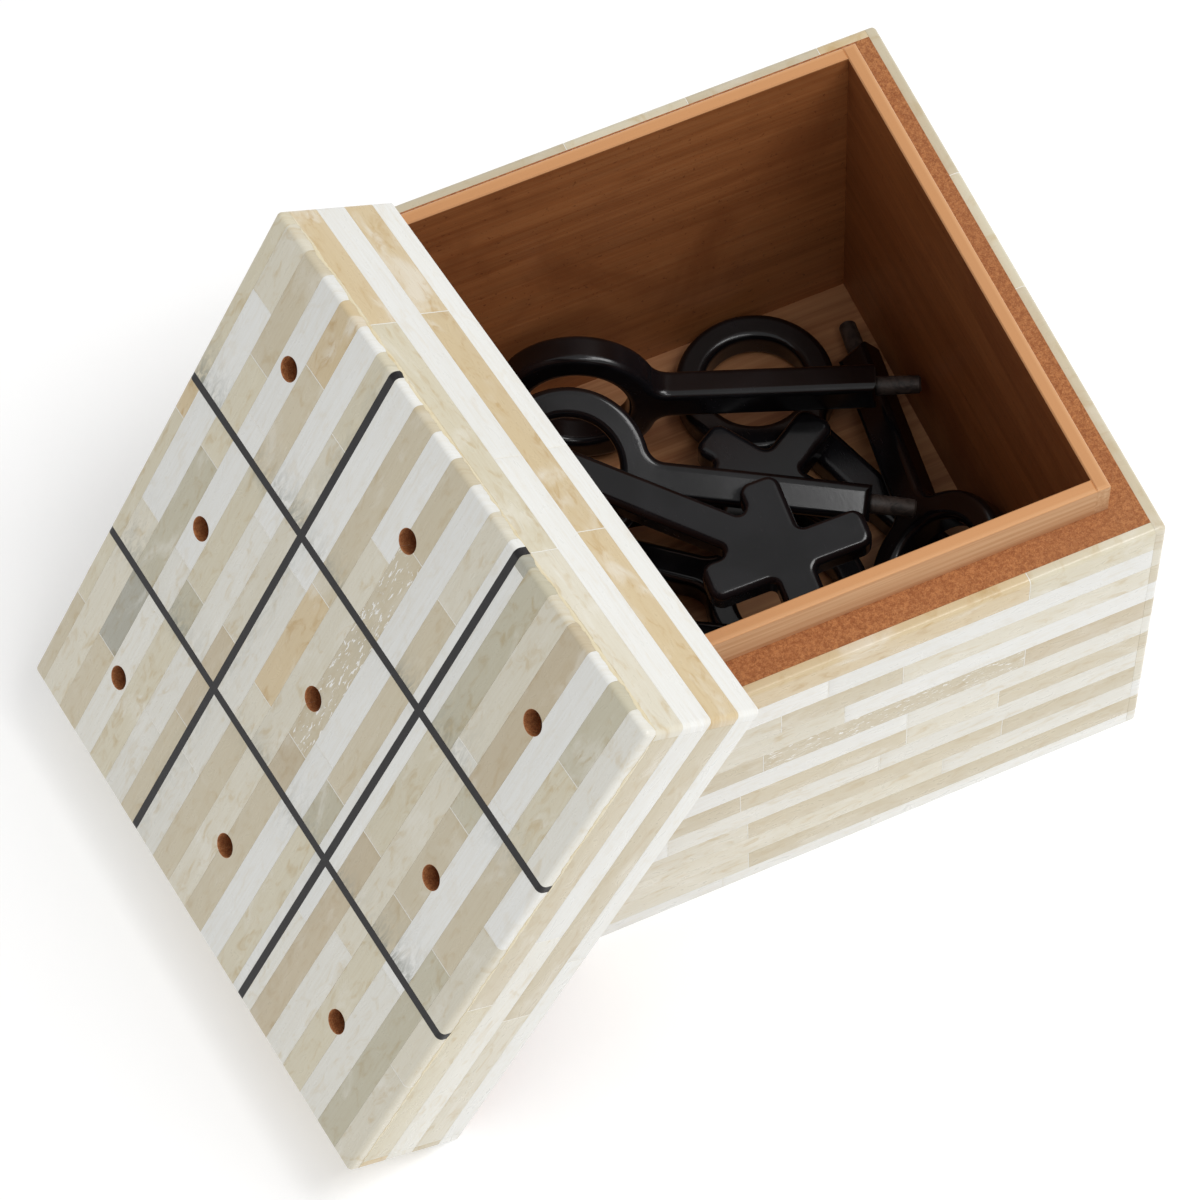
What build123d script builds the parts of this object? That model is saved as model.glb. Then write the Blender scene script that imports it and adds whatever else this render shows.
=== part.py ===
from build123d import *
import math
import os

os.makedirs("parts", exist_ok=True)

# Tic tac toe set: a square bone-clad box, its loose lid that carries the
# playing grid, and ten carved playing pieces (five rings, five crosses).
# Frame: origin at the centre of the underside of the box, +X right, +Y back,
# +Z up.  Everything is in millimetres.

# ---------------------------------------------------------------- box sizes
box_w = 152.0            # outer width of the box, left to right
box_d = 152.0            # outer depth, front to back
rim_z = 91.5             # height of the box rim above the table
bone_t = 2.8             # thickness of the bone strips on the walls
core_t = 7.0             # fibreboard wall thickness
liner_t = 3.3            # thin wooden lining board
liner_lip = 10.0         # the lining stands this much above the rim
floor_board_t = 3.0      # fibreboard bottom
floor_lining_t = 3.0     # wooden lining on the bottom
edge_round = 1.4         # rounding of the outer bone edges
corner_round = 1.2       # rounding of the upright corners
wall_rows = 11           # full rows of bone strips on each wall
foot_strip_h = 4.8       # thin strip along the bottom edge

# ---------------------------------------------------------------- lid sizes
lid_h = 32.0             # overall height of the lid
lid_board_t = 7.0        # fibreboard top
skirt_t = 6.6            # fibreboard skirt thickness
lid_rows_at = [-32.0, -26.2, -18.3, -10.4, -2.8]     # edges of the rows of strips round the lid
# edges of the bone strips across the playing face, from its centre line
strip_edges = [-71.5, -63.3, -55.7, -48.0, -40.2, -32.3, -16.5, -8.8, -1.0, 6.7, 14.5, 22.2,
               30.2, 37.8, 45.7, 53.5, 61.7, 69.3]
line_w = 2.0             # width of the dark grid lines
line_at = 25.6           # distance of each grid line from the lid centre
hole_r = 2.8             # peg hole radius
hole_depth = 9.0         # peg hole depth from the playing face
hole_pitch = 51.5        # spacing of the peg holes

# ------------------------------------------------- lid resting position
# The lid leans on the left rim of the box with its lower edge on the table.
lid_slope = 56.56        # slope of the playing face, degrees from level
lid_yaw = 8.38           # turn of the lid about the upright, degrees
lid_x = -110.70          # centre of the playing face
lid_y = -31.83

# ------------------------------------------------------------- piece sizes
head_r = 20.0            # outer radius of a ring head
ring_in_r = 12.7         # inner radius of a ring head
head_t = 8.4             # thickness of every head and stem
stem_w = 9.0             # stem width
shoulder_at = 73.0       # head centre to shoulder
peg_r = 2.45             # peg radius
peg_len = 11.0           # peg length
arm_w = 10.0             # width of a cross arm
arm_reach = 20.3         # head centre to the end of an arm
soft = 1.9               # edge rounding of the pieces
neck_r = 5.0             # hollow where the stem meets the head

hw, hd = box_w / 2, box_d / 2
cw, cd = hw - bone_t, hd - bone_t            # outer face of the cores
iw, idp = cw - core_t, cd - core_t           # inner face of the cores
lw, ld = iw - liner_t, idp - liner_t         # inner face of the lining
floor_z = floor_board_t + floor_lining_t


def block(x0, x1, y0, y1, z0, z1):
    return Pos((x0 + x1) / 2, (y0 + y1) / 2, (z0 + z1) / 2) * Box(x1 - x0, y1 - y0, z1 - z0)


def save(shape, name):
    shape.label = name
    export_step(shape, f"parts/{name}.step")


def pick(shape, axis, value, tol=0.01):
    """Edges whose both ends and middle sit at one coordinate."""
    out = []
    for e in shape.edges():
        pts = [e @ 0, e @ 0.5, e @ 1]
        if all(abs(getattr(p, axis) - value) < tol for p in pts):
            out.append(e)
    return out


# ------------------------------------------------------------------ the box
save(block(-iw, iw, -idp, idp, 0, floor_board_t), "box_floor_board")
save(block(-iw, iw, -idp, idp, floor_board_t, floor_z), "box_floor_lining")
save(block(-cw, -iw, -cd, cd, 0, rim_z), "box_core_left")
save(block(iw, cw, -cd, cd, 0, rim_z), "box_core_right")
save(block(-iw, iw, -cd, -idp, 0, rim_z), "box_core_front")
save(block(-iw, iw, idp, cd, 0, rim_z), "box_core_back")

liner_top = rim_z + liner_lip


def lining(x0, x1, y0, y1):
    b = block(x0, x1, y0, y1, floor_z, liner_top)
    return chamfer(pick(b, "Z", liner_top), 0.3)


# the side boards run the full depth and lap the ends of the front and back
save(lining(-iw, -lw, -idp, idp), "box_liner_left")
save(lining(lw, iw, -idp, idp), "box_liner_right")
save(lining(-lw, lw, -idp, -ld), "box_liner_front")
save(lining(-lw, lw, ld, idp), "box_liner_back")


def strips(plate, along, lo, hi, rows, cuts):
    """Cut a plate into rows of strips with butt joints.
    rows: list of (z0, z1); cuts: per row, joint positions along the wall."""
    out = []
    for (z0, z1), js in zip(rows, cuts):
        ends = [lo] + list(js) + [hi]
        for a, b in zip(ends[:-1], ends[1:]):
            if along == "X":
                tool = block(a, b, -200, 200, z0, z1)
            else:
                tool = block(-200, 200, a, b, z0, z1)
            got = plate & tool
            out += list(got.solids())
    return Compound(children=out)


row_h = (rim_z - foot_strip_h) / wall_rows
rows = [(0.0, foot_strip_h)] + [(foot_strip_h + i * row_h, foot_strip_h + (i + 1) * row_h) for i in range(wall_rows)]

front_cuts = [[10.0], [-33.0], [5.7, 43.3], [14.0], [-27.7, 37.3], [-1.8], [-21.8, 43.2], [-46.0], [-26.0, 39.0], [24.0], [-26.0], [-32.7, 5.7]]
back_cuts = [[12.0], [-30.0], [25.0], [-48.0, 40.0], [5.0], [-22.0], [34.0], [-9.0], [-52.0, 18.0], [28.0], [-15.0], [41.0]]
right_cuts = [[30.0], [-8.0], [46.0], [-35.0], [14.0], [-50.0, 32.0], [-4.0], [41.0], [-26.0], [9.0], [-40.0], [22.0]]
left_cuts = [[-14.0], [35.0], [-42.0], [6.0], [-28.0, 48.0], [20.0], [-10.0], [-36.0], [29.0], [-3.0], [44.0], [-22.0]]
# listed from the rim down
front_cuts, back_cuts, right_cuts, left_cuts = (c[::-1] for c in (front_cuts, back_cuts, right_cuts, left_cuts))


def side_plate(sign):
    x0, x1 = sorted((sign * cw, sign * hw))
    p = block(x0, x1, -hd, hd, 0, rim_z)
    up = [e for e in p.edges() if abs((e @ 0).X - sign * hw) < 0.01 and abs((e @ 1).X - sign * hw) < 0.01 and abs((e @ 0).Z - (e @ 1).Z) > 1]
    p = fillet(up, corner_round)
    top = [e for e in p.edges() if all(abs((e @ t).Z - rim_z) < 0.01 for t in (0, 0.5, 1)) and all(sign * (e @ t).X > cw + 0.5 for t in (0.5,))]
    return fillet(top, edge_round)


def end_plate(sign):
    y0, y1 = sorted((sign * cd, sign * hd))
    p = block(-cw, cw, y0, y1, 0, rim_z)
    top = [e for e in p.edges() if all(abs((e @ t).Z - rim_z) < 0.01 and abs((e @ t).Y - sign * hd) < 0.01 for t in (0, 0.5, 1))]
    return fillet(top, edge_round)


save(strips(end_plate(-1), "X", -cw, cw, rows, front_cuts), "box_bone_front")
save(strips(end_plate(1), "X", -cw, cw, rows, back_cuts), "box_bone_back")
save(strips(side_plate(-1), "Y", -hd, hd, rows, left_cuts), "box_bone_left")
save(strips(side_plate(1), "Y", -hd, hd, rows, right_cuts), "box_bone_right")

# ------------------------------------------------------------------ the lid
# Built level with its playing face at z = 0, X down the slope and Y towards
# the front, then laid in its resting position.
sl, yw = math.radians(lid_slope), math.radians(lid_yaw)
fwd = Vector(-math.cos(yw), -math.sin(yw), 0)            # level direction down the slope
a_dir = Vector(fwd.X * math.cos(sl), fwd.Y * math.cos(sl), -math.sin(sl))
b_dir = Vector(math.sin(yw), -math.cos(yw), 0)
w_dir = a_dir.cross(b_dir)
lid_z = hw * math.sin(sl) + lid_h * w_dir.Z
lid_place = Plane(origin=Vector(lid_x, lid_y, lid_z), x_dir=a_dir, z_dir=w_dir).location

hole_spots = [(i * hole_pitch, j * hole_pitch) for i in (-1, 0, 1) for j in (-1, 0, 1)]
board_top = -bone_t
board_bot = -bone_t - lid_board_t

board = block(-cw, cw, -cd, cd, board_bot, board_top)
for (x, y) in hole_spots:
    board -= Pos(x, y, -hole_depth / 2) * Cylinder(hole_r, hole_depth)
save(lid_place * board, "lid_board")

sw = cw - skirt_t
save(lid_place * block(-cw, -sw, -cd, cd, -lid_h, board_bot), "lid_skirt_upper")
save(lid_place * block(sw, cw, -cd, cd, -lid_h, board_bot), "lid_skirt_lower")
save(lid_place * block(-sw, sw, -cd, -sw, -lid_h, board_bot), "lid_skirt_back")
save(lid_place * block(-sw, sw, sw, cd, -lid_h, board_bot), "lid_skirt_front")

lid_rows_z = list(zip(lid_rows_at[:-1], lid_rows_at[1:]))


def lid_side(sign):
    x0, x1 = sorted((sign * cw, sign * hw))
    p = block(x0, x1, -hd, hd, -lid_h, board_top)
    up = [e for e in p.edges() if abs((e @ 0).X - sign * hw) < 0.01 and abs((e @ 1).X - sign * hw) < 0.01 and abs((e @ 0).Z - (e @ 1).Z) > 1]
    return fillet(up, corner_round)


def lid_end(sign):
    y0, y1 = sorted((sign * cd, sign * hd))
    return block(-cw, cw, y0, y1, -lid_h, board_top)


save(lid_place * strips(lid_side(-1), "Y", -hd, hd, lid_rows_z, [[-0.2], [-41.8, 23.2], [0.7], [-40.2, 26.5]]), "lid_bone_upper")
save(lid_place * strips(lid_side(1), "Y", -hd, hd, lid_rows_z, [[60.0], [-46.0, 30.7], [24.0], [-21.0]]), "lid_bone_lower")
save(lid_place * strips(lid_end(-1), "X", -cw, cw, lid_rows_z, [[40.7], [10.7], [-36.0], [-7.7]]), "lid_bone_back")
save(lid_place * strips(lid_end(1), "X", -cw, cw, lid_rows_z, [[7.3], [26.0], [-4.3], [17.3]]), "lid_bone_front")

top_plate = block(-hw, hw, -hd, hd, board_top, 0)
top_plate = fillet([e for e in top_plate.edges() if abs((e @ 0).Z - (e @ 1).Z) > 1], corner_round)
top_plate = fillet(pick(top_plate, "Z", 0.0), edge_round)

half_l = line_w / 2
spans = [(-hw, -line_at - half_l), (-line_at + half_l, line_at - half_l), (line_at + half_l, hw)]
row_name = ["upper", "middle", "lower"]
col_name = ["back", "centre", "front"]
for i, (x0, x1) in enumerate(spans):
    for j, (y0, y1) in enumerate(spans):
        cell = top_plate & block(x0, x1, y0, y1, -10, 10)
        cell -= Pos((i - 1) * hole_pitch, (j - 1) * hole_pitch, 0) * Cylinder(hole_r, 20)
        solids = []
        edges = [y0] + [e for e in strip_edges if y0 + 0.5 < e < y1 - 0.5] + [y1]
        for e0, e1 in zip(edges[:-1], edges[1:]):
            got = cell & block(x0, x1, e0, e1, -10, 10)
            solids += list(got.solids())
        save(lid_place * Compound(children=solids), f"lid_square_{row_name[i]}_{col_name[j]}")

# the lines across the slope run through; the lines down the slope are cut
for nm, s in (("upper", -1), ("lower", 1)):
    c = s * line_at
    save(lid_place * (top_plate & block(c - half_l, c + half_l, -hd, hd, -10, 10)), f"lid_line_{nm}")
for nm, s in (("back", -1), ("front", 1)):
    c = s * line_at
    segs = []
    for (x0, x1) in spans:
        segs += list((top_plate & block(x0, x1, c - half_l, c + half_l, -10, 10)).solids())
    save(lid_place * Compound(children=segs), f"lid_line_{nm}")


# ------------------------------------------------------------ playing pieces
# Each piece is carved in one: head in the XY plane, stem along +X, peg at
# the end.
def peg():
    shaft = Pos(shoulder_at + peg_len / 2 - 0.5, 0, 0) * Rot(0, 90, 0) * Cone(peg_r, peg_r - 0.25, peg_len + 1.0)
    ends = [e for e in shaft.edges() if (e @ 0).X > shoulder_at + peg_len - 0.1 and (e @ 0.5).X > shoulder_at + peg_len - 0.1]
    return chamfer(ends, 0.5)


def ring_piece():
    face = Circle(head_r) + Pos(shoulder_at / 2 + 7.5, 0) * Rectangle(shoulder_at - 15.0, stem_w)
    inner = [v for v in face.vertices() if v.X < head_r and v.X > 5]
    face = fillet(inner, neck_r)
    face -= Circle(ring_in_r)
    body = extrude(face, amount=head_t / 2, both=True)
    rims = [e for e in body.edges() if abs(abs((e @ 0.5).Z) - head_t / 2) < 0.01 and abs(abs((e @ 0).Z) - head_t / 2) < 0.01]
    body = fillet(rims, soft)
    return body + peg()


def cross_piece():
    face = Rot(0, 0, 45) * Rectangle(2 * arm_reach, arm_w)
    face += Rot(0, 0, -45) * Rectangle(2 * arm_reach, arm_w)
    face = fillet([v for v in face.vertices() if math.hypot(v.X, v.Y) > 15], 3.2)
    face += Pos(shoulder_at / 2, 0) * Rectangle(shoulder_at, stem_w)
    hollow = [v for v in face.vertices() if math.hypot(v.X, v.Y) < 14 and v.X < 14]
    face = fillet(hollow, 1.6)
    body = extrude(face, amount=head_t / 2, both=True)
    rims = [e for e in body.edges() if abs(abs((e @ 0.5).Z) - head_t / 2) < 0.01 and abs(abs((e @ 0).Z) - head_t / 2) < 0.01]
    body = fillet(rims, soft)
    return body + peg()


ring = ring_piece()
cross = cross_piece()


def lay(centre, heading, roll):
    """Head centre, direction from head to peg, turn about the stem."""
    d = Vector(*heading).normalized()
    side = Vector(0, 0, 1).cross(d).normalized()
    up = d.cross(side)
    r = math.radians(roll)
    n = up * math.cos(r) + side * math.sin(r)
    return Plane(origin=Vector(*centre), x_dir=d, z_dir=n).location


pieces = {
    "o_piece_1": (ring, (-16.3, 47.4, 27.2), (0.920, -0.391, 0.026), -84.0),
    "o_piece_2": (ring, (28.5, 41.2, 10.3), (0.320, -0.947, 0.0), 0.0),
    "o_piece_3": (ring, (-28.6, 23.6, 37.0), (0.871, -0.484, -0.080), -29.0),
    "o_piece_4": (ring, (44.2, -33.0, 25.2), (0.155, 0.972, -0.178), 40.0),
    "o_piece_5": (ring, (11.0, -17.0, 10.3), (-0.76, 0.65, 0.0), 0.0),
    "x_piece_1": (cross, (19.3, 10.2, 18.9), (-0.973, 0.230, 0.0), 0.0),
    "x_piece_2": (cross, (7.5, -24.3, 44.45), (-0.670, 0.741, 0.045), 8.0),
    "x_piece_3": (cross, (-42.0, -7.5, 18.9), (0.86, -0.51, 0.0), 0.0),
    "x_piece_4": (cross, (-42.2, -11.0, 10.3), (0.80, -0.60, 0.0), 0.0),
    "x_piece_5": (cross, (44.4, -57.9, 24.2), (-1.0, 0.0, 0.0), 90.0),
}
for name, (shape, centre, heading, roll) in pieces.items():
    save(lay(centre, heading, roll) * shape, name)
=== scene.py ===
import math
import random

import bmesh
import bpy
import numpy as np
from mathutils import Matrix, Vector


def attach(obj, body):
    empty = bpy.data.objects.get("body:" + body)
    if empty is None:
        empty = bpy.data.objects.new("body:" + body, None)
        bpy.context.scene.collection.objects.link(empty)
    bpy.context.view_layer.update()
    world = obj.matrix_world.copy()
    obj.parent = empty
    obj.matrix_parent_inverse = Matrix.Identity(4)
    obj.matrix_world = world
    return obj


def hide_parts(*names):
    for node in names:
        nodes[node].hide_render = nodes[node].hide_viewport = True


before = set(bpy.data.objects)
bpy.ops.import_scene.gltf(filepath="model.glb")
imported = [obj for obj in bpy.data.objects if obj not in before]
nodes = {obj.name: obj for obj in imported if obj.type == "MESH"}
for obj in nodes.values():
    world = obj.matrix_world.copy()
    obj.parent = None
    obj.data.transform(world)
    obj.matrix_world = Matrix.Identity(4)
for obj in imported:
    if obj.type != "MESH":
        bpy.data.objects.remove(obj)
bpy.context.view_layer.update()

rng = random.Random(11)
scene = bpy.context.scene

# ------------------------------------------------------------------ helpers


def lin(r, g, b):
    out = []
    for c in (r, g, b):
        c /= 255.0
        out.append(c / 12.92 if c <= 0.04045 else ((c + 0.055) / 1.055) ** 2.4)
    return tuple(out)


def material(name, colour, rough, coat=0.0, coat_rough=0.2, spec=0.5):
    m = bpy.data.materials.new(name)
    m.use_nodes = True
    nt = m.node_tree
    nt.nodes.clear()
    out = nt.nodes.new("ShaderNodeOutputMaterial")
    b = nt.nodes.new("ShaderNodeBsdfPrincipled")
    nt.links.new(b.outputs[0], out.inputs[0])
    b.inputs["Base Color"].default_value = (*colour, 1)
    b.inputs["Roughness"].default_value = rough
    b.inputs["Specular IOR Level"].default_value = spec
    b.inputs["Coat Weight"].default_value = coat
    b.inputs["Coat Roughness"].default_value = coat_rough
    m.diffuse_color = (*colour, 1)
    return m, nt, b


class N:
    """Short calls for building a node tree."""

    def __init__(self, nt):
        self.nt = nt

    def _in(self, sock, v):
        if isinstance(v, bpy.types.NodeSocket):
            self.nt.links.new(v, sock)
        elif v is not None:
            sock.default_value = v

    def attr(self, name, out="Vector"):
        n = self.nt.nodes.new("ShaderNodeAttribute")
        n.attribute_type = "GEOMETRY"
        n.attribute_name = name
        return n.outputs[out]

    def object_pos(self):
        return self.nt.nodes.new("ShaderNodeTexCoord").outputs["Object"]

    def scale(self, vec, s, loc=(0, 0, 0), rot=(0, 0, 0)):
        n = self.nt.nodes.new("ShaderNodeMapping")
        self._in(n.inputs["Vector"], vec)
        n.inputs["Scale"].default_value = s
        n.inputs["Location"].default_value = loc
        n.inputs["Rotation"].default_value = rot
        return n.outputs[0]

    def noise(self, vec, scale=1.0, detail=3.0, rough=0.55, distort=0.0):
        n = self.nt.nodes.new("ShaderNodeTexNoise")
        self._in(n.inputs["Vector"], vec)
        n.inputs["Scale"].default_value = scale
        n.inputs["Detail"].default_value = detail
        n.inputs["Roughness"].default_value = rough
        n.inputs["Distortion"].default_value = distort
        return n.outputs["Fac"]

    def ramp(self, fac, lo, hi, a=0.0, b=1.0, smooth=True):
        n = self.nt.nodes.new("ShaderNodeMapRange")
        n.interpolation_type = "SMOOTHSTEP" if smooth else "LINEAR"
        self._in(n.inputs["Value"], fac)
        n.inputs["From Min"].default_value = lo
        n.inputs["From Max"].default_value = hi
        n.inputs["To Min"].default_value = a
        n.inputs["To Max"].default_value = b
        return n.outputs[0]

    def math(self, op, a, b=None, c=None):
        n = self.nt.nodes.new("ShaderNodeMath")
        n.operation = op
        self._in(n.inputs[0], a)
        self._in(n.inputs[1], b)
        if c is not None:
            self._in(n.inputs[2], c)
        return n.outputs[0]

    def dot(self, vec, d):
        n = self.nt.nodes.new("ShaderNodeVectorMath")
        n.operation = "DOT_PRODUCT"
        self._in(n.inputs[0], vec)
        n.inputs[1].default_value = d
        return n.outputs["Value"]

    def split(self, vec):
        n = self.nt.nodes.new("ShaderNodeSeparateXYZ")
        self._in(n.inputs[0], vec)
        return n.outputs

    def mix(self, fac, a, b, mode="MIX"):
        n = self.nt.nodes.new("ShaderNodeMix")
        n.data_type = "RGBA"
        n.blend_type = mode
        self._in(n.inputs["Factor"], fac)
        for k, v in ((6, a), (7, b)):
            if isinstance(v, tuple) and len(v) == 3:
                v = (*v, 1)
            self._in(n.inputs[k], v)
        return n.outputs[2]

    def bump(self, height, strength, dist, base=None):
        n = self.nt.nodes.new("ShaderNodeBump")
        n.inputs["Strength"].default_value = strength
        n.inputs["Distance"].default_value = dist
        self._in(n.inputs["Height"], height)
        if base is not None:
            self._in(n.inputs["Normal"], base)
        return n.outputs[0]


# ---------------------------------------------------------------- materials
def bone_material():
    m, nt, b = material("bone", lin(228, 222, 206), 0.3, coat=0.25, coat_rough=0.12)
    n = N(nt)
    tone = n.attr("tone", "Color")
    loc = n.attr("loc")                      # millimetres along and across the strip, and a seed
    aux = n.split(n.attr("aux"))             # smudge, fleck, mottle
    cloud = n.noise(n.scale(loc, (0.055, 0.11, 1)), 1.0, 4.0, 0.6, 0.6)
    cloud2 = n.noise(n.scale(loc, (0.16, 0.34, 1), (31, 7, 3)), 1.0, 4.0, 0.6, 0.8)
    streak = n.noise(n.scale(loc, (0.06, 1.9, 1), (3, 90, 1)), 1.0, 3.0, 0.6)
    pores = n.noise(n.scale(loc, (0.9, 5.0, 1), (13, 40, 1)), 1.0, 2.0, 0.6)
    pale = n.mix(0.55, tone, lin(240, 238, 230))
    deep = n.mix(1.0, tone, lin(236, 222, 196), "MULTIPLY")
    f1 = n.math("MULTIPLY", n.ramp(cloud, 0.52, 0.72), aux[2])
    f2 = n.math("MULTIPLY", n.ramp(cloud2, 0.50, 0.74), aux[2])
    col = n.mix(f1, tone, pale)
    col = n.mix(f2, col, deep)
    col = n.mix(n.ramp(streak, 0.35, 0.7, 0.0, 0.16), col, n.mix(1.0, col, lin(226, 214, 190), "MULTIPLY"))
    col = n.mix(n.ramp(pores, 0.66, 0.78, 0.0, 0.22), col, n.mix(1.0, col, lin(205, 190, 165), "MULTIPLY"))
    # grey green smudges of glue near the dark lines
    sm = n.noise(n.scale(loc, (0.22, 0.6, 1), (5, 5, 2)), 1.0, 4.0, 0.65, 1.0)
    f3 = n.math("MULTIPLY", n.ramp(sm, 0.34, 0.66), aux[0])
    col = n.mix(f3, col, lin(126, 130, 120))
    # open pores filled with white on a few strips
    fl = n.noise(n.scale(loc, (0.42, 1.7, 1), (71, 3, 8)), 1.0, 2.5, 0.55, 0.4)
    f4 = n.math("MULTIPLY", n.ramp(fl, 0.60, 0.64), aux[1])
    col = n.mix(f4, col, lin(244, 242, 236))
    nt.links.new(col, b.inputs["Base Color"])
    nt.links.new(n.ramp(cloud2, 0.3, 0.8, 0.26, 0.42), b.inputs["Roughness"])
    nrm = n.bump(streak, 0.10, 0.0002)
    nrm = n.bump(f4, 0.35, 0.0002, nrm)
    nt.links.new(nrm, b.inputs["Normal"])
    return m


def inlay_material():
    m, nt, b = material("black_inlay", lin(30, 28, 30), 0.46, spec=0.4)
    n = N(nt)
    p = n.object_pos()
    g = n.noise(n.scale(p, (420, 420, 420)), 1.0, 3.0)
    nt.links.new(n.mix(n.ramp(g, 0.35, 0.75), lin(22, 20, 22), lin(44, 42, 44)), b.inputs["Base Color"])
    nt.links.new(n.ramp(g, 0.3, 0.7, 0.34, 0.55), b.inputs["Roughness"])
    nt.links.new(n.bump(g, 0.2, 0.0002), b.inputs["Normal"])
    return m


def fibre_material():
    """Medium density fibreboard, stained reddish brown."""
    m, nt, b = material("fibreboard", lin(150, 88, 52), 0.8, spec=0.3)
    n = N(nt)
    p = n.object_pos()
    big = n.noise(p, 26.0, 3.0, 0.5)
    mid = n.noise(p, 1100.0, 3.0, 0.6, 0.3)
    fine = n.noise(p, 3600.0, 2.0, 0.6)
    col = n.mix(n.ramp(mid, 0.35, 0.68), lin(154, 94, 54), lin(186, 124, 76))
    col = n.mix(n.ramp(big, 0.4, 0.7, 0.0, 0.35), col, lin(160, 104, 66))
    col = n.mix(n.ramp(fine, 0.52, 0.66, 0.0, 0.4), col, lin(112, 60, 32))
    col = n.mix(n.ramp(fine, 0.46, 0.34, 0.0, 0.35), col, lin(208, 152, 106))
    nt.links.new(col, b.inputs["Base Color"])
    nrm = n.bump(fine, 0.5, 0.0003)
    nt.links.new(n.bump(mid, 0.3, 0.0004, nrm), b.inputs["Normal"])
    return m


def lining_material(name, across, dark, mid_c, light, gloss):
    """Thin wooden board: grain runs level, its upper edge is painted paler as painted light where it faces up.
    across: 0 if the board's grain runs along X, 1 along Y."""
    m, nt, b = material(name, mid_c, gloss, coat=0.0, spec=0.45)
    n = N(nt)
    p = n.object_pos()
    s_fine = (14, 900, 900) if across == 0 else (900, 14, 900)
    s_mid = (9, 120, 120) if across == 0 else (120, 9, 120)
    grain = n.noise(n.scale(p, s_fine), 1.0, 3.0, 0.6, 0.2)
    band = n.noise(n.scale(p, s_mid, (3, 2, 1)), 1.0, 4.0, 0.6, 1.2)
    blot = n.noise(p, 24.0, 4.0, 0.6, 0.8)
    speck = n.noise(p, 900.0, 2.0, 0.6)
    col = n.mix(n.ramp(band, 0.30, 0.72, 0.25, 0.85), dark, mid_c)
    col = n.mix(n.ramp(grain, 0.35, 0.72, 0.0, 0.24), col, light)
    col = n.mix(n.ramp(blot, 0.46, 0.70, 0.0, 0.65), col, dark)
    col = n.mix(n.ramp(speck, 0.64, 0.74, 0.0, 0.55), col, n.mix(1.0, col, lin(150, 110, 80), "MULTIPLY"))
    # the part that stands proud of the rim is painted paler: painted light where the lip faces up to the lamps
    xyz = n.split(p)
    z = xyz[2]
    reach = n.math("MAXIMUM", n.math("ABSOLUTE", xyz[0]), n.math("ABSOLUTE", xyz[1]))
    up = n.math("MULTIPLY", n.ramp(z, 0.0905, 0.0925), n.ramp(reach, 0.0650, 0.0658))
    lip_lit_colour = n.mix(n.ramp(grain, 0.35, 0.7), lin(206, 160, 118), lin(226, 190, 150))
    col = n.mix(n.math("MULTIPLY", up, 0.85), col, lip_lit_colour)
    # the top face of the lining is painted paler still: painted light on the face turned up to the lamps
    top_painted_light = n.ramp(z, 0.1008, 0.1013)
    col = n.mix(n.math("MULTIPLY", top_painted_light, 0.8), col, lin(214, 156, 104))
    nt.links.new(col, b.inputs["Base Color"])
    nt.links.new(n.ramp(blot, 0.3, 0.7, gloss - 0.06, gloss + 0.1), b.inputs["Roughness"])
    nt.links.new(n.bump(grain, 0.22, 0.0002), b.inputs["Normal"])
    return m


def floor_lining_material():
    m, nt, b = material("floor_wood", lin(150, 100, 64), 0.5, spec=0.4)
    n = N(nt)
    p = n.object_pos()
    grain = n.noise(n.scale(p, (12, 700, 700)), 1.0, 3.0, 0.6, 0.2)
    band = n.noise(n.scale(p, (8, 90, 90)), 1.0, 4.0, 0.6, 1.0)
    col = n.mix(n.ramp(band, 0.36, 0.66), lin(138, 88, 54), lin(172, 120, 80))
    col = n.mix(n.ramp(grain, 0.35, 0.72, 0.0, 0.4), col, lin(196, 148, 104))
    nt.links.new(col, b.inputs["Base Color"])
    nt.links.new(n.bump(grain, 0.2, 0.0002), b.inputs["Normal"])
    return m


def horn_material(name, centre, heading):
    """Polished black horn with a rough, paler peg past the shoulder."""
    m, nt, b = material(name, lin(18, 17, 19), 0.22, coat=0.0, spec=0.5)
    n = N(nt)
    p = n.object_pos()
    d = Vector(heading).normalized()
    c = Vector(centre) * 0.001
    along = n.math("SUBTRACT", n.dot(p, tuple(d)), float(c.dot(d)))
    peg = n.ramp(along, 0.0727, 0.0736)
    fib = n.noise(n.scale(p, (260, 260, 260)), 1.0, 4.0, 0.6, 1.5)
    big = n.noise(p, 46.0, 3.0, 0.5, 0.6)
    scr = n.noise(n.scale(p, (1500, 240, 800)), 1.0, 2.0, 0.6, 0.5)
    col = n.mix(n.ramp(big, 0.4, 0.7), lin(12, 11, 13), lin(22, 21, 24))
    col = n.mix(n.ramp(fib, 0.6, 0.8, 0.0, 0.3), col, lin(42, 40, 42))
    pegc = n.mix(n.ramp(fib, 0.35, 0.68), lin(34, 29, 27), lin(74, 64, 58))
    col = n.mix(peg, col, pegc)
    nt.links.new(col, b.inputs["Base Color"])
    r0 = n.ramp(big, 0.3, 0.75, 0.15, 0.25)
    r1 = n.math("ADD", r0, n.ramp(scr, 0.55, 0.8, 0.0, 0.08))
    rr = n.math("ADD", r1, n.math("MULTIPLY", peg, 0.34))
    nt.links.new(rr, b.inputs["Roughness"])
    nrm = n.bump(scr, 0.05, 0.0001)
    nrm = n.bump(n.math("MULTIPLY", peg, fib), 0.6, 0.0004, nrm)
    nt.links.new(nrm, b.inputs["Normal"])
    return m


BONE = bone_material()
INLAY = inlay_material()
FIBRE = fibre_material()

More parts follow.
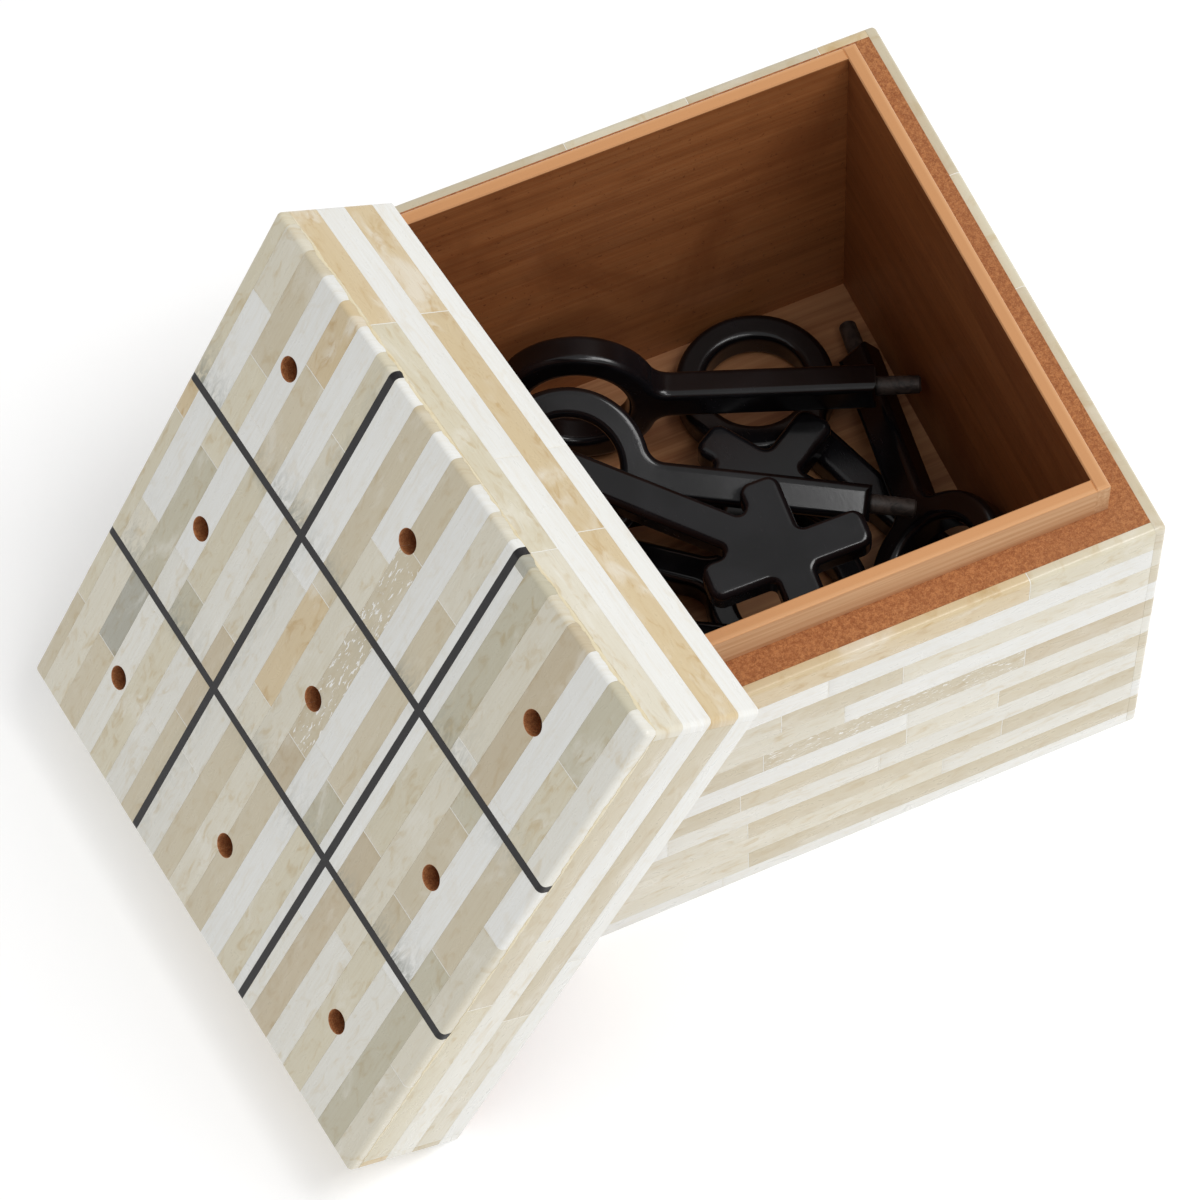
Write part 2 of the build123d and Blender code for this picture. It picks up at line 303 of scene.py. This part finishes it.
# ------------------------------------------------------- bone strip builder
TONE = {
    "W": (235, 235, 231), "V": (229, 227, 218), "C": (221, 215, 197), "Y": (216, 208, 184),
    "T": (207, 196, 170), "A": (214, 194, 156), "G": (197, 191, 168), "D": (200, 186, 158),
    "R": (240, 238, 230), "S": (172, 170, 156),
}
MOTTLE = {"W": 0.25, "V": 0.55, "C": 0.75, "Y": 0.8, "T": 0.55, "A": 0.9, "G": 0.8, "D": 0.5, "R": 0.0, "S": 0.9}


def ticks(a, b, step, lo_fine, hi_fine, r):
    """Places of grid lines from a to b: close together at the two ends."""
    e = min(0.08, (b - a) * 0.2)
    t = [a, a + e * 0.3, a + e]
    left, right = a + e, b - e
    if lo_fine:
        k = a + 0.45
        while k < min(a + r + 0.4, right):
            t.append(k)
            k += 0.3
        left = t[-1]
    tail = [b - e, b - e * 0.3, b]
    if hi_fine:
        k = b - 0.45
        extra = []
        while k > max(b - r - 0.4, left):
            extra.append(k)
            k -= 0.3
        tail = extra[::-1] + tail
        right = tail[0]
    if right - left > step:
        cnt = int((right - left) / step)
        t += [left + (right - left) * i / (cnt + 1) for i in range(1, cnt + 1)]
    t = sorted(set([round(x, 4) for x in t + tail]))
    return [x for i, x in enumerate(t) if i == 0 or x - t[i - 1] > 0.01]


class Shell:
    """A group of bone strips in one local frame, with its outer edges rounded."""

    def __init__(self, lo, hi, r, place=None):
        self.lo, self.hi, self.r = np.array(lo, float), np.array(hi, float), r
        self.place = place
        self.v, self.f, self.tone, self.loc, self.aux = [], [], [], [], []
        self.count, self.sid, self.facts = 0, [], []

    def strip(self, lo, hi, along, tone, smudge=None, fleck=0.0, mottle=None, gap=0.008, face=None):
        lo, hi = list(lo), list(hi)
        for k in range(3):
            if k != face:
                lo[k] += gap
                hi[k] -= gap
        seed = rng.uniform(0, 400)
        shift = rng.uniform(-200, 200)
        T = []
        for k in range(3):
            lf = lo[k] < self.lo[k] + self.r
            hf = hi[k] > self.hi[k] - self.r
            T.append(ticks(lo[k], hi[k], 2.2 if k == along else 4.0, lf, hf, self.r))
        nx, ny, nz = (len(t) for t in T)
        index, pts, faces = {}, [], []

        def vid(i, j, k):
            key = (i, j, k)
            if key not in index:
                index[key] = len(pts)
                pts.append((T[0][i], T[1][j], T[2][k]))
            return index[key]

        for k, flip in ((0, True), (nz - 1, False)):
            for i in range(nx - 1):
                for j in range(ny - 1):
                    q = [vid(i, j, k), vid(i + 1, j, k), vid(i + 1, j + 1, k), vid(i, j + 1, k)]
                    faces.append(q[::-1] if flip else q)
        for i, flip in ((0, True), (nx - 1, False)):
            for j in range(ny - 1):
                for k in range(nz - 1):
                    q = [vid(i, j, k), vid(i, j + 1, k), vid(i, j + 1, k + 1), vid(i, j, k + 1)]
                    faces.append(q[::-1] if flip else q)
        for j, flip in ((0, False), (ny - 1, True)):
            for i in range(nx - 1):
                for k in range(nz - 1):
                    q = [vid(i, j, k), vid(i + 1, j, k), vid(i + 1, j, k + 1), vid(i, j, k + 1)]
                    faces.append(q[::-1] if flip else q)
        P = np.array(pts)
        L, H = np.array(lo), np.array(hi)
        across = [k for k in range(3) if k != along]
        wide = max(across, key=lambda k: hi[k] - lo[k])
        base = P.copy()
        # tiny softened edges of the strip itself
        e = min(0.07, float((H - L).min()) * 0.2)
        Q = np.clip(P, L + e, H - e)
        dv = P - Q
        ln = np.linalg.norm(dv, axis=1)
        far = ln > e
        P[far] = Q[far] + dv[far] * (e / ln[far])[:, None]
        # the big rounding of the assembly's outer edges
        Q = np.clip(P, self.lo + self.r, self.hi - self.r)
        dv = P - Q
        ln = np.linalg.norm(dv, axis=1)
        far = ln > self.r
        P[far] = Q[far] + dv[far] * (self.r / ln[far])[:, None]
        n = len(P)
        self.v.append(P)
        self.f += [tuple(x + self.count for x in q) for q in faces]
        self.sid += [len(self.facts)] * len(faces)
        self.count += n
        dc = rng.uniform(-4.0, 3.0)
        col = np.array(lin(*[c + dc for c in TONE[tone]]))
        self.tone.append(np.tile(np.append(col, 1.0), (n, 1)))
        other = [k for k in across if k != wide][0]
        loc = np.stack([base[:, along] + shift, base[:, wide] + 0.35 * base[:, other], np.full(n, seed)], 1)
        self.loc.append(loc)
        sm = np.zeros(n) if smudge is None else smudge(base)
        self.facts.append((np.append(col, 1.0), shift, seed, smudge, fleck, MOTTLE[tone] if mottle is None else mottle))
        self.aux.append(np.stack([sm, np.full(n, fleck), np.full(n, MOTTLE[tone] if mottle is None else mottle)], 1))

    def build(self, name):
        V = np.concatenate(self.v)
        if self.place is not None:
            o, A, B, W = self.place
            V = o + V[:, :1] * A + V[:, 1:2] * B + V[:, 2:] * W
        V = V * 0.001
        me = bpy.data.meshes.new(name)
        me.from_pydata([tuple(p) for p in V], [], self.f)
        paint(me, np.concatenate(self.tone), np.concatenate(self.loc), np.concatenate(self.aux))
        me.polygons.foreach_set("use_smooth", [True] * len(me.polygons))
        me.set_sharp_from_angle(angle=math.radians(50))
        me.attributes.new("sid", "INT", "FACE").data.foreach_set("value", self.sid)
        me.materials.append(BONE)
        ob = bpy.data.objects.new(name, me)
        scene.collection.objects.link(ob)
        return ob

    def repaint(self, me, x, y):
        """Paint the vertices that a hole at x, y has made."""
        o, A, B, W = self.place
        R = np.stack([A, B, W])
        sid = me.attributes["sid"].data
        tone, loc, aux = (me.attributes[k].data for k in ("tone", "loc", "aux"))
        for p in me.polygons:
            if p.material_index != 0:
                continue
            fact = self.facts[sid[p.index].value]
            for v in p.vertices:
                q = R @ (np.array(me.vertices[v].co) * 1000 - o)
                if math.hypot(q[0] - x, q[1] - y) > 2.95:
                    continue
                tone[v].color = fact[0]
                loc[v].vector = (q[0] + fact[1], q[1] + 0.35 * q[2], fact[2])
                sm = 0.0 if fact[3] is None else float(fact[3](q[None, :])[0])
                aux[v].vector = (sm, fact[4], fact[5])


def paint(me, tone, loc, aux):
    n = len(me.vertices)
    for nm, kind, data in (("tone", "FLOAT_COLOR", tone), ("loc", "FLOAT_VECTOR", loc), ("aux", "FLOAT_VECTOR", aux)):
        at = me.attributes.new(nm, kind, "POINT")
        at.data.foreach_set("color" if kind == "FLOAT_COLOR" else "vector", np.asarray(data, dtype=np.float32).ravel())


def row_of(shell, along, lo, hi, segs, start, end, fleck_at=(), face=None, **kw):
    """Lay one row of strips end to end. segs: [(end position, tone), ...]."""
    a = start
    for n_, (b_, tone) in enumerate(segs):
        b_ = min(b_, end)
        l, h = list(lo), list(hi)
        l[along], h[along] = a, b_
        last = b_ >= end - 1e-6
        if not last:
            h[along] = b_ - 0.22
        shell.strip(l, h, along, tone, fleck=1.0 if n_ in fleck_at else 0.0, face=face, **kw)
        if not last:
            l[along], h[along] = b_ - 0.22, b_
            shell.strip(l, h, along, "R", gap=0.0, face=face)
        a = b_
        if last:
            break


# ------------------------------------------------------------ the box walls
HW, RIM, BT = 76.0, 91.5, 2.8
CW = HW - BT
ROWS = [0.0, 4.8]
while len(ROWS) < 13:
    ROWS.append(4.8 + (len(ROWS) - 1) * (RIM - 4.8) / 11)


def front_px(segs):
    return [(x / 6.0 - HW, t) for x, t in segs]


# rows of the front wall, from the rim down
FRONT = [
    [(300, "A"), (712, "A"), (999, "Y")],
    [(420, "W"), (999, "W")],
    [(352, "C"), (530, "T"), (999, "C")],
    [(445, "C"), (999, "W")],
    [(325, "T"), (715, "T"), (999, "D")],
    [(540, "W"), (999, "V")],
    [(290, "T"), (540, "T"), (680, "C"), (999, "T")],
    [(180, "W"), (500, "V"), (999, "V")],
    [(300, "C"), (690, "T"), (999, "T")],
    [(600, "C"), (999, "V")],
    [(300, "C"), (999, "T")],
    [(260, "W"), (490, "W"), (999, "W")],
]


def random_row(k, lo, hi):
    pale = k % 2 == 1
    segs, x = [], lo
    while x < hi - 25:
        x += rng.uniform(30, 85)
        segs.append((x, rng.choice("WWWVVC") if pale else rng.choice("TTTACYD")))
    segs.append((999, rng.choice("WWV") if pale else rng.choice("TTAY")))
    return segs


for side in ("front", "back", "left", "right"):
    sh = Shell((-HW, -HW, -60), (HW, HW, RIM), 1.25)
    for k in range(12):
        z1, z0 = ROWS[12 - k], ROWS[11 - k]
        if side == "front":
            row_of(sh, 0, (-CW, -HW, z0), (CW, -CW, z1), front_px(FRONT[k]), -CW, CW, fleck_at=(1,) if k == 4 else ())
        elif side == "back":
            row_of(sh, 0, (-CW, CW, z0), (CW, HW, z1), random_row(k, -CW, CW), -CW, CW)
        elif side == "left":
            row_of(sh, 1, (-HW, -HW, z0), (-CW, HW, z1), random_row(k, -HW, HW), -HW, HW)
        else:
            row_of(sh, 1, (CW, -HW, z0), (HW, HW, z1), random_row(k, -HW, HW), -HW, HW)
    ob = sh.build("box_veneer_" + side)
    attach(ob, "box")
    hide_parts("box_bone_" + side)

# ------------------------------------------------------------------ the lid
SL, YW = math.radians(56.56), math.radians(8.38)
LH = 32.0
fwd = np.array([-math.cos(YW), -math.sin(YW), 0.0])
LA = np.array([fwd[0] * math.cos(SL), fwd[1] * math.cos(SL), -math.sin(SL)])
LB = np.array([math.sin(YW), -math.cos(YW), 0.0])
LW = np.cross(LA, LB)
LO = np.array([-110.70, -31.83, HW * math.sin(SL) + LH * LW[2]])
PLACE = (LO, LA, LB, LW)


def lid_shell():
    return Shell((-HW, -HW, -90), (HW, HW, 0), 1.25, PLACE)


# strip columns of the playing face, back edge to front edge, in sixths of a
# millimetre from the back edge, each with its strips from the upper edge down
COLS = [
    (0, 27, [(300, "Y"), (365, "A"), (740, "Y"), (999, "T")]),
    (27, 76, [(118, "C"), (520, "W"), (999, "C")]),
    (76, 122, [(190, "T"), (365, "Y"), (605, "G"), (750, "S"), (999, "T")]),
    (122, 168, [(255, "W"), (520, "W"), (625, "V"), (999, "V")]),
    (168, 215, [(117, "A"), (300, "T"), (535, "Y"), (615, "G"), (999, "Y")]),
    (215, 262, [(355, "W"), (755, "V"), (999, "V")]),
    (262, 302, [(150, "Y"), (525, "C"), (700, "D"), (999, "T")]),
    (302, 357, [(355, "W"), (735, "V"), (999, "V")]),
    (357, 403, [(335, "T"), (535, "A"), (615, "C"), (999, "T")]),
    (403, 450, [(198, "W"), (615, "C"), (999, "C")]),
    (450, 496, [(152, "T"), (533, "T"), (615, "D"), (999, "T")]),
    (496, 543, [(500, "W"), (999, "W")]),
    (543, 589, [(162, "C"), (520, "T"), (615, "G"), (999, "Y")]),
    (589, 609, [(480, "W"), (999, "W")]),
    (609, 637, [(20, "S"), (710, "W"), (999, "V")]),
    (637, 683, [(300, "G"), (515, "Y"), (999, "D")]),
    (683, 730, [(270, "C"), (310, "V"), (670, "C"), (999, "V")]),
    (730, 777, [(300, "D"), (355, "G"), (533, "T"), (615, "T"), (999, "Y")]),
    (777, 826, [(282, "W"), (630, "W"), (999, "V")]),
    (826, 872, [(148, "G"), (300, "Y"), (530, "T"), (615, "G"), (999, "G")]),
    (872, 912, [(300, "V"), (425, "W"), (720, "C"), (999, "C")]),
]
HALF = 1.0
AT = 25.6
SPANS = [(-HW, -AT - HALF), (-AT + HALF, AT - HALF), (AT + HALF, HW)]
RN, CN = ("upper", "middle", "lower"), ("back", "centre", "front")
HOLES = 51.5


def smudger(strength, side):
    k = [rng.uniform(0.0, 1.0) ** 1.6 * strength for _ in range(4)]
    reach = rng.uniform(2.5, 7.5)
    c = rng.choice((0.25, 0.55, 1.0))

    def f(P):
        s = np.zeros(len(P))
        for n_, line in enumerate((-AT, AT)):
            up = np.clip(line - P[:, 0], 0, None)        # uphill side of the line
            dn = np.clip(P[:, 0] - line, 0, None)
            s = np.maximum(s, np.where(P[:, 0] < line, k[n_] * np.exp(-up / reach), k[n_] * 0.5 * np.exp(-dn / (reach * 0.5))))
            d = np.abs(P[:, 1] - line)
            s = np.maximum(s, c * k[2] * np.exp(-d / 2.2))
        return np.clip(s, 0, 1)

    return f


def hole_cutter(x, y):
    me = bpy.data.meshes.new("cutter")
    bm = bmesh.new()
    r, seg = 2.8, 56
    ring = [(r * math.cos(2 * math.pi * i / seg), r * math.sin(2 * math.pi * i / seg)) for i in range(seg)]
    prof = [(1.0, -4.0), (1.0, -0.3), (1.02, -0.1), (1.05, 0.0), (1.05, 0.6)]
    layers = []
    for s, z in prof:
        layers.append([bm.verts.new((x + px * s, y + py * s, z)) for px, py in ring])
    for a, b in zip(layers[:-1], layers[1:]):
        for i in range(seg):
            j = (i + 1) % seg
            bm.faces.new((a[i], a[j], b[j], b[i]))
    bm.faces.new(layers[0][::-1])
    bm.faces.new(layers[-1])
    bm.to_mesh(me)
    bm.free()
    P = np.array([v.co[:] for v in me.vertices])
    Wd = (LO + P[:, :1] * LA + P[:, 1:2] * LB + P[:, 2:] * LW) * 0.001
    me.vertices.foreach_set("co", Wd.astype(np.float32).ravel())
    n_ = len(P)
    paint(me, np.tile(np.append(lin(196, 150, 108), 1.0), (n_, 1)), np.stack([P[:, 0] * 3, P[:, 1] * 3, P[:, 2]], 1), np.tile([0, 0, 0.5], (n_, 1)))
    me.attributes.new("sid", "INT", "FACE")
    me.materials.append(FIBRE)
    ob = bpy.data.objects.new("cutter", me)
    scene.collection.objects.link(ob)
    return ob


def cut_hole(ob, x, y, sh):
    c = hole_cutter(x, y)
    md = ob.modifiers.new("hole", "BOOLEAN")
    md.operation = "DIFFERENCE"
    md.solver = "EXACT"
    md.material_mode = "TRANSFER"
    md.object = c
    dg = bpy.context.evaluated_depsgraph_get()
    new = bpy.data.meshes.new_from_object(ob.evaluated_get(dg), preserve_all_data_layers=True, depsgraph=dg)
    old = ob.data
    ob.modifiers.clear()
    ob.data = new
    sh.repaint(new, x, y)
    new.attributes.remove(new.attributes["sid"])
    bpy.data.meshes.remove(old)
    cm = c.data
    bpy.data.objects.remove(c)
    bpy.data.meshes.remove(cm)


for i, (a0, a1) in enumerate(SPANS):
    for j, (b0, b1) in enumerate(SPANS):
        sh = lid_shell()
        for ci, (p0, p1, segs) in enumerate(COLS):
            y0, y1 = max(p0 / 6.0 - HW, b0), min(p1 / 6.0 - HW, b1)
            if y1 - y0 < 0.5:
                continue
            s = [(e / 6.0 - HW, t) for e, t in segs]
            s = [(e, t) for e, t in s if e > a0 + 1.2]
            s = [(e if e < a1 - 1.2 else 999.0, t) for e, t in s]
            fl = [n_ for n_, (e, t) in enumerate(s) if ci == 10 and ((i == 0 and n_ == 1) or (i == 1 and n_ == 0))]
            row_of(sh, 0, (a0, y0, -BT), (a1, y1, 0.0), s, a0, a1, fleck_at=fl, smudge=smudger(1.15, ci))
        ob = sh.build(f"lid_squares_{RN[i]}_{CN[j]}")
        cut_hole(ob, (i - 1) * HOLES, (j - 1) * HOLES, sh)
        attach(ob, "lid")
        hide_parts(f"lid_square_{RN[i]}_{CN[j]}")

LZ = [-BT, -10.4, -18.3, -26.2, -LH]
SIDES = {
    "upper": [[(215, "A"), (615, "Y"), (999, "C")], [(460, "W"), (999, "W")], [(205, "A"), (595, "A"), (999, "A")], [(455, "W"), (999, "W")]],
    "front": [[(560, "T"), (999, "Y")], [(430, "W"), (999, "V")], [(612, "T"), (999, "C")], [(500, "W"), (999, "W")]],
    "lower": [[(330, "T"), (999, "A")], [(600, "W"), (999, "V")], [(180, "Y"), (640, "T"), (999, "T")], [(999, "W")]],
    "back": [[(410, "A"), (999, "T")], [(240, "V"), (999, "W")], [(520, "T"), (999, "D")], [(700, "W"), (999, "W")]],
}
for side, rows in SIDES.items():
    sh = lid_shell()
    for k in range(4):
        z1, z0 = LZ[k], LZ[k + 1]
        s = front_px(rows[k])
        if side == "upper":
            row_of(sh, 1, (-HW, -HW, z0), (-CW, HW, z1), s, -HW, HW)
        elif side == "lower":
            row_of(sh, 1, (CW, -HW, z0), (HW, HW, z1), s, -HW, HW)
        elif side == "back":
            row_of(sh, 0, (-CW, -HW, z0), (CW, -CW, z1), s, -CW, CW)
        else:
            row_of(sh, 0, (-CW, CW, z0), (CW, HW, z1), s, -CW, CW)
    ob = sh.build("lid_veneer_" + side)
    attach(ob, "lid")
    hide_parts("lid_bone_" + side)

# the ragged line of cream resin where the playing face meets two of the sides
def resin_line(name, side):
    n_ = 300
    up = down = 0.3
    V, F = [], []
    for i in range(n_ + 1):
        s_ = -75.2 + 150.4 * i / n_
        up = min(max(up + rng.uniform(-0.28, 0.28), 0.05), 0.9)
        down = min(max(down + rng.uniform(-0.22, 0.22), 0.05), 0.7)
        ends = min(1.0, (i + 0.2) / 8.0, (n_ - i + 0.2) / 8.0)
        prof = [(-0.15, -BT + up * ends), (0.06, -BT + up * ends * 0.8), (0.09, -BT), (0.06, -BT - down * ends * 0.8), (-0.15, -BT - down * ends)]
        for out, w_ in prof:
            V.append((-HW - out, s_, w_) if side == "upper" else (s_, HW + out, w_))
    for i in range(n_):
        for k in range(5):
            a_, b_ = i * 5 + k, i * 5 + (k + 1) % 5
            q = (a_, b_, b_ + 5, a_ + 5)
            F.append(q if side == "upper" else q[::-1])
    F.append((4, 3, 2, 1, 0) if side == "upper" else (0, 1, 2, 3, 4))
    e_ = n_ * 5
    F.append(tuple(e_ + k for k in ((0, 1, 2, 3, 4) if side == "upper" else (4, 3, 2, 1, 0))))
    P = np.array(V)
    Wd = (LO + P[:, :1] * LA + P[:, 1:2] * LB + P[:, 2:] * LW) * 0.001
    me = bpy.data.meshes.new(name)
    me.from_pydata([tuple(p) for p in Wd], [], F)
    m_ = len(V)
    along = P[:, 1] if side == "upper" else P[:, 0]
    paint(me, np.tile(np.append(lin(226, 214, 182), 1.0), (m_, 1)), np.stack([along, P[:, 2] * 2, np.full(m_, 55.0)], 1), np.tile([0, 0, 0.9], (m_, 1)))
    me.polygons.foreach_set("use_smooth", [True] * len(me.polygons))
    me.set_sharp_from_angle(angle=math.radians(60))
    me.materials.append(BONE)
    ob = bpy.data.objects.new(name, me)
    scene.collection.objects.link(ob)
    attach(ob, "lid")


resin_line("lid_resin_line_upper", "upper")
resin_line("lid_resin_line_front", "front")

# ------------------------------------------------ materials on the CAD nodes


def wear(name, mat):
    ob = nodes[name]
    ob.data.materials.clear()
    ob.data.materials.append(mat)


for nm in list(nodes):
    if nm.startswith("box_core") or nm == "box_floor_board" or nm in ("lid_board",) or nm.startswith("lid_skirt"):
        wear(nm, FIBRE)
    elif nm.startswith("lid_line"):
        wear(nm, INLAY)
# the left and right linings use darker colours than the front and back ones: painted shade on the side walls, which the
# lid keeps from the light
lx = lining_material("lining_wood_x", 0, lin(134, 76, 38), lin(178, 112, 64), lin(204, 146, 94), 0.40)
side_lining_shaded = lining_material("lining_wood_y_painted_shade", 1, lin(112, 58, 26), lin(150, 90, 48), lin(178, 118, 70), 0.42)
wear("box_liner_front", lx)
wear("box_liner_back", lx)
wear("box_liner_left", side_lining_shaded)
wear("box_liner_right", side_lining_shaded)
wear("box_floor_lining", floor_lining_material())

POSES = {
    "o_piece_1": ((-16.3, 47.4, 27.2), (0.920, -0.391, 0.026)),
    "o_piece_2": ((28.5, 41.2, 10.3), (0.320, -0.947, 0.0)),
    "o_piece_3": ((-28.6, 23.6, 37.0), (0.871, -0.484, -0.080)),
    "o_piece_4": ((44.2, -33.0, 25.2), (0.155, 0.972, -0.178)),
    "o_piece_5": ((11.0, -17.0, 10.3), (-0.76, 0.65, 0.0)),
    "x_piece_1": ((19.3, 10.2, 18.9), (-0.973, 0.230, 0.0)),
    "x_piece_2": ((7.5, -24.3, 44.45), (-0.670, 0.741, 0.045)),
    "x_piece_3": ((-42.0, -7.5, 18.9), (0.86, -0.51, 0.0)),
    "x_piece_4": ((-42.2, -11.0, 10.3), (0.80, -0.60, 0.0)),
    "x_piece_5": ((44.4, -57.9, 24.2), (-1.0, 0.0, 0.0)),
}
for nm, (c, d) in POSES.items():
    wear(nm, horn_material("horn_" + nm, c, d))

# ----------------------------------------------------------- floor and light
me = bpy.data.meshes.new("ground")
S = 6.0
me.from_pydata([(-S, -S, 0), (S, -S, 0), (S, S, 0), (-S, S, 0)], [], [(0, 1, 2, 3)])
ground = bpy.data.objects.new("ground", me)
scene.collection.objects.link(ground)
gm, gnt, gb = material("ground", (0.86, 0.86, 0.86), 0.9, spec=0.1)
me.materials.append(gm)
gb.inputs["Emission Color"].default_value = (1, 1, 1, 1)
gb.inputs["Emission Strength"].default_value = 0.24

world = bpy.data.worlds.new("studio")
scene.world = world
world.use_nodes = True
bg = world.node_tree.nodes["Background"]
bg.inputs["Color"].default_value = (1.0, 1.0, 1.0, 1)
bg.inputs["Strength"].default_value = 0.53


def softbox(name, at, aim, size, power, colour=(1, 1, 1)):
    lt = bpy.data.lights.new(name, "AREA")
    lt.shape = "RECTANGLE"
    lt.size, lt.size_y = size
    lt.energy = power
    lt.color = colour
    ob = bpy.data.objects.new(name, lt)
    ob.location = at
    ob.rotation_euler = (Vector(aim) - Vector(at)).to_track_quat("-Z", "Y").to_euler()
    scene.collection.objects.link(ob)
    return ob


softbox("key", (0.80, -0.32, 1.42), (0, 0, 0.05), (0.8, 0.8), 11.6)
softbox("front_fill", (0.0, -1.7, 0.8), (0, 0, 0.05), (1.2, 0.8), 1.6)
softbox("left_fill", (-1.4, -0.2, 1.1), (-0.05, 0, 0.06), (0.8, 0.8), 1.6, (0.92, 0.96, 1.0))
softbox("glint", (0.12, -0.62, 1.25), (0.0, 0.0, 0.03), (0.5, 0.10), 1.8)

# --------------------------------------------------------------- the camera
ax = Vector((2.5814, -0.5446, 0.0828))
M = Matrix.Rotation(ax.length, 3, ax.normalized())
t = Vector((0.1924, -0.0308, 6.4344)) * 0.152
pos = -(M.transposed() @ t)
right, down, ahead = M[0], M[1], M[2]
rot = Matrix((right, -down, -ahead)).transposed()
cam = bpy.data.cameras.new("camera")
cam.sensor_width = 36.0
cam.lens = 119.135
cam.clip_start, cam.clip_end = 0.05, 50.0
cob = bpy.data.objects.new("camera", cam)
cob.matrix_world = Matrix.Translation(pos) @ rot.to_4x4()
scene.collection.objects.link(cob)
scene.camera = cob
scene.view_settings.view_transform = "Standard"
